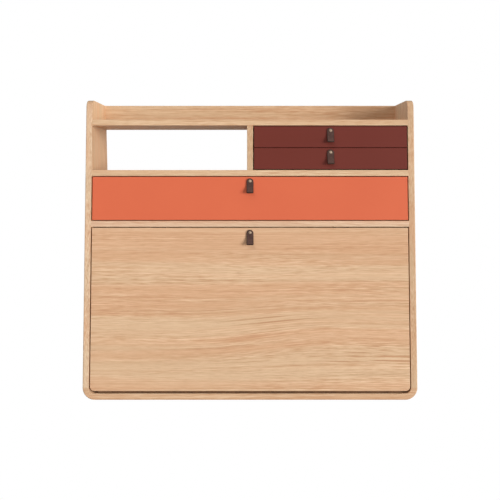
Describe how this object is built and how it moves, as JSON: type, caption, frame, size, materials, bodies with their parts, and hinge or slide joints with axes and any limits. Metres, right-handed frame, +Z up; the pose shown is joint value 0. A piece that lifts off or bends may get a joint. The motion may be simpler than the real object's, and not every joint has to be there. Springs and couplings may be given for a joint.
{
  "type": "fold down wall desk",
  "caption": "Wall-hung oak writing desk with a slanted front: a hinged flap on stays folds down as the desk top, below lacquered drawers, an open niche and a tray.",
  "frame": {"origin": "centre of the four wall-screw holes, on the wall plane", "axes": "+X to the right seen from the front, +Y into the wall, +Z up"},
  "size_m": [1, 0.3495, 0.895],
  "materials": {
    "oak": "oak veneer, clear matt lacquer",
    "orange_lacquer": "satin orange lacquer",
    "oxblood_lacquer": "satin dark red lacquer",
    "birch_ply": "birch plywood, clear lacquer",
    "beech": "waxed beech",
    "leather": "smooth dark brown leather",
    "stud_metal": "pale satin metal",
    "hinge_bronze": "dark bronzed",
    "stay_steel": "zinc plated",
    "screw_steel": "zinc plated",
    "catch_plastic": "brown moulded plastic"
  },
  "bodies": {
    "case": {"back_panel": "oak", "back_rail": "oak", "bottom_panel": "oak", "case_dowels": "beech", "centre_divider": "oak", "desk_shelf": "oak", "hinge_case_leaf": "hinge_bronze", "hinge_case_screws": "screw_steel", "hinge_pin": "hinge_bronze", "left_bottom_corner": "oak", "left_side_panel": "oak", "left_stay_track": "stay_steel", "lower_wall_rail": "beech", "magnet_catches": "catch_plastic", "niche_shelf": "oak", "right_bottom_corner": "oak", "right_side_panel": "oak", "right_stay_track": "stay_steel", "runner_screws": "screw_steel", "small_bay_back": "oak", "small_drawer_runners": "beech", "stay_track_screws": "screw_steel", "top_shelf": "oak", "upper_wall_rail": "beech", "wide_drawer_runners": "beech"},
    "flap": {"flap_panel": "oak", "flap_pull_stud": "stud_metal", "flap_pull_tab": "leather", "hinge_flap_leaf": "hinge_bronze", "hinge_flap_screws": "screw_steel", "left_stay_bracket": "stay_steel", "right_stay_bracket": "stay_steel", "stay_bracket_screws": "screw_steel", "stay_pivot_pins": "stay_steel", "strike_plates": "stay_steel"},
    "left_stay_arm": {"left_stay_arm": "stay_steel", "left_guide_stud": "stay_steel"},
    "right_stay_arm": {"right_stay_arm": "stay_steel", "right_guide_stud": "stay_steel"},
    "wide_drawer": {"wide_drawer_back": "birch_ply", "wide_drawer_bottom": "birch_ply", "wide_drawer_front": "orange_lacquer", "wide_drawer_left_side": "birch_ply", "wide_drawer_pull_stud": "stud_metal", "wide_drawer_pull_tab": "leather", "wide_drawer_right_side": "birch_ply"},
    "upper_small_drawer": {"upper_small_drawer_back": "birch_ply", "upper_small_drawer_bottom": "birch_ply", "upper_small_drawer_front": "oxblood_lacquer", "upper_small_drawer_left_side": "birch_ply", "upper_small_drawer_pull_stud": "stud_metal", "upper_small_drawer_pull_tab": "leather", "upper_small_drawer_right_side": "birch_ply"},
    "lower_small_drawer": {"lower_small_drawer_back": "birch_ply", "lower_small_drawer_bottom": "birch_ply", "lower_small_drawer_front": "oxblood_lacquer", "lower_small_drawer_left_side": "birch_ply", "lower_small_drawer_pull_stud": "stud_metal", "lower_small_drawer_pull_tab": "leather", "lower_small_drawer_right_side": "birch_ply"}
  },
  "joints": [
    {"name": "flap_hinge", "type": "hinge", "parent": "case", "child": "flap", "pos_m": [0, -0.34298, -0.319], "axis": [1, 0, 0], "range_deg": [0, 99.51]},
    {"name": "left_stay_pivot", "type": "hinge", "parent": "flap", "child": "left_stay_arm", "pos_m": [-0.476, -0.29021, -0.17958], "axis": [1, 0, 0], "range_deg": [-124.9, 0]},
    {"name": "right_stay_pivot", "type": "hinge", "parent": "flap", "child": "right_stay_arm", "pos_m": [0.476, -0.29021, -0.17958], "axis": [1, 0, 0], "range_deg": [-124.9, 0]},
    {"name": "wide_drawer_slide", "type": "slide", "parent": "case", "child": "wide_drawer", "axis": [0, -1, 0], "range_m": [0, 0.13]},
    {"name": "upper_small_drawer_slide", "type": "slide", "parent": "case", "child": "upper_small_drawer", "axis": [0, -1, 0], "range_m": [0, 0.12]},
    {"name": "lower_small_drawer_slide", "type": "slide", "parent": "case", "child": "lower_small_drawer", "axis": [0, -1, 0], "range_m": [0, 0.12]}
  ],
  "couplings": [
    {"joint": "left_stay_pivot", "follows": "flap_hinge", "ratio": -1.255},
    {"joint": "right_stay_pivot", "follows": "flap_hinge", "ratio": -1.255}
  ]
}
